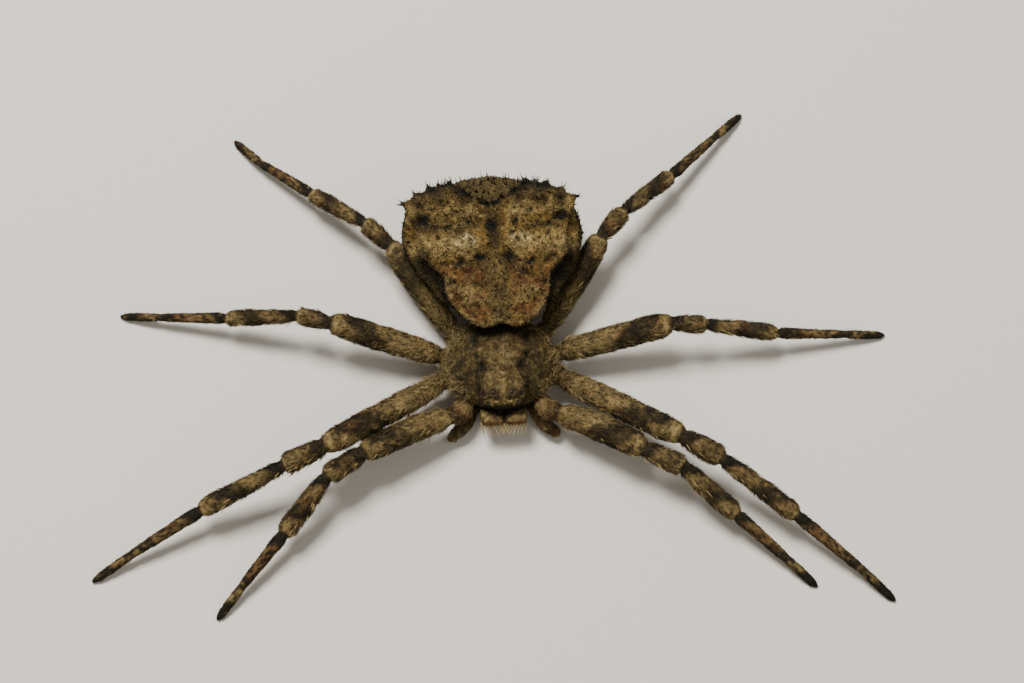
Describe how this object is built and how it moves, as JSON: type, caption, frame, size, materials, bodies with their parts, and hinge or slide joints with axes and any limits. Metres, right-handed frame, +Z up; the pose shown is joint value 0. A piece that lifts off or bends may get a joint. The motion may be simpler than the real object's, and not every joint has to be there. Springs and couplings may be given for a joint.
{
  "type": "huntsman spider",
  "caption": "Still, life-size model of a bark-coloured spider with a knobbed, wedge-shaped abdomen, lying flat with its banded legs spread.",
  "frame": {"origin": "the floor's point under the middle of the whole model, legs included", "axes": "+Z up, -Y the way the head faces, +X the spider's own left side"},
  "size_m": [0.0448, 0.0292, 0.0054],
  "materials": {
    "abdomen_coat": "dull knobbed skin under short pale and dark hair-scales, mottled brown and olive",
    "carapace_coat": "dull dark olive skin under short hair-scales, paler on the raised middle plate",
    "leg_coat": "mottled brown skin with dark bands, under short hair-scales and a few long pale hairs",
    "jaw": "dull dark brown with pale bristles along the front edge",
    "fang": "smooth, dark red-brown",
    "eye": "smooth, black, wet-looking"
  },
  "bodies": {
    "root": {"abdomen": "abdomen_coat", "cephalothorax": "carapace_coat", "chelicera_left": "jaw", "chelicera_right": "jaw", "eye_front_inner_left": "eye", "eye_front_inner_right": "eye", "eye_front_outer_left": "eye", "eye_front_outer_right": "eye", "eye_rear_inner_left": "eye", "eye_rear_inner_right": "eye", "eye_rear_outer_left": "eye", "eye_rear_outer_right": "eye", "fang_left": "fang", "fang_right": "fang", "leg_1_left_femur": "leg_coat", "leg_1_left_metatarsus": "leg_coat", "leg_1_left_patella": "leg_coat", "leg_1_left_tarsus": "leg_coat", "leg_1_left_tibia": "leg_coat", "leg_1_right_femur": "leg_coat", "leg_1_right_metatarsus": "leg_coat", "leg_1_right_patella": "leg_coat", "leg_1_right_tarsus": "leg_coat", "leg_1_right_tibia": "leg_coat", "leg_2_left_femur": "leg_coat", "leg_2_left_metatarsus": "leg_coat", "leg_2_left_patella": "leg_coat", "leg_2_left_tarsus": "leg_coat", "leg_2_left_tibia": "leg_coat", "leg_2_right_femur": "leg_coat", "leg_2_right_metatarsus": "leg_coat", "leg_2_right_patella": "leg_coat", "leg_2_right_tarsus": "leg_coat", "leg_2_right_tibia": "leg_coat", "leg_3_left_femur": "leg_coat", "leg_3_left_metatarsus": "leg_coat", "leg_3_left_patella": "leg_coat", "leg_3_left_tarsus": "leg_coat", "leg_3_left_tibia": "leg_coat", "leg_3_right_femur": "leg_coat", "leg_3_right_metatarsus": "leg_coat", "leg_3_right_patella": "leg_coat", "leg_3_right_tarsus": "leg_coat", "leg_3_right_tibia": "leg_coat", "leg_4_left_femur": "leg_coat", "leg_4_left_metatarsus": "leg_coat", "leg_4_left_patella": "leg_coat", "leg_4_left_tarsus": "leg_coat", "leg_4_left_tibia": "leg_coat", "leg_4_right_femur": "leg_coat", "leg_4_right_metatarsus": "leg_coat", "leg_4_right_patella": "leg_coat", "leg_4_right_tarsus": "leg_coat", "leg_4_right_tibia": "leg_coat", "palp_left": "leg_coat", "palp_right": "leg_coat", "pedicel": "carapace_coat", "spinnerets": "abdomen_coat"}
  },
  "joints": []
}
